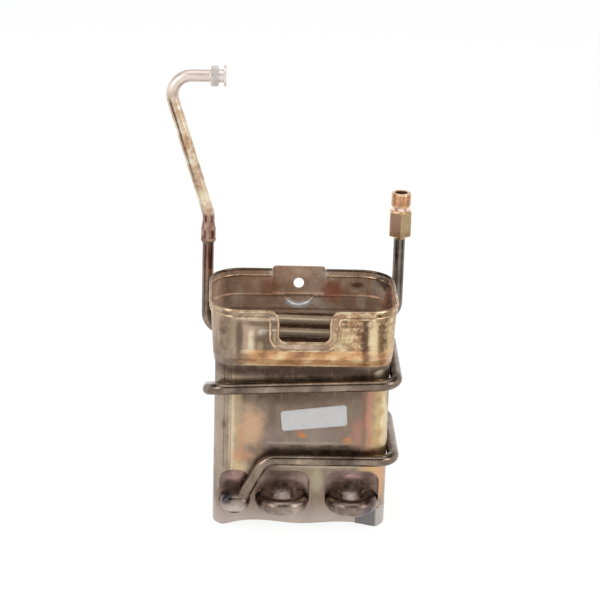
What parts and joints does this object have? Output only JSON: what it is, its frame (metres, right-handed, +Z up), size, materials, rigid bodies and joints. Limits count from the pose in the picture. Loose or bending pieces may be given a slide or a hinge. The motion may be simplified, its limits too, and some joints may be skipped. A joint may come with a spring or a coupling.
{
  "type": "water heater heat exchanger coil",
  "caption": "Copper heat exchanger of a gas water heater: open sheet jacket with burner skirt, finned tube core at its foot, tube coiled round it, goose-neck inlet and threaded outlet.",
  "frame": {"origin": "in the middle of the whole part's outline seen from above, on the plane of the edge it stands on; the jacket's own vertical axis is 14.7 mm to the right of it and 2.1 mm in front of it", "axes": "+X to the right with the gas notch in front, +Y to the back where the fixing tab is, +Z up from the finned core to the skirt"},
  "size_m": [0.2572, 0.1799, 0.455],
  "materials": {
    "copper_jacket": "heat-tinted rolled copper sheet",
    "copper_skirt": "braze-stained drawn copper sheet",
    "copper_plate": "copper sheet",
    "copper_fin": "copper sheet",
    "copper_bend": "bent copper tube, tarnished",
    "copper_tube": "drawn copper tube, tarnished",
    "copper_core_tube": "drawn copper tube",
    "plated_brass": "turned brass, pale plating",
    "turned_brass": "turned brass"
  },
  "bodies": {
    "root": {"jacket": "copper_jacket", "burner_skirt": "copper_skirt", "front_tube_plate": "copper_plate", "rear_tube_plate": "copper_plate", "fin_pack": "copper_fin", "return_bends": "copper_bend", "coil_tube": "copper_tube", "inlet_cap": "copper_bend", "gooseneck_pipe": "copper_tube", "gooseneck_fitting": "plated_brass", "outlet_pipe": "copper_tube", "outlet_reducer": "copper_bend", "outlet_union": "turned_brass", "core_tube_1": "copper_core_tube", "core_tube_2": "copper_core_tube", "core_tube_3": "copper_core_tube", "core_tube_4": "copper_core_tube", "core_tube_5": "copper_core_tube"}
  },
  "joints": []
}
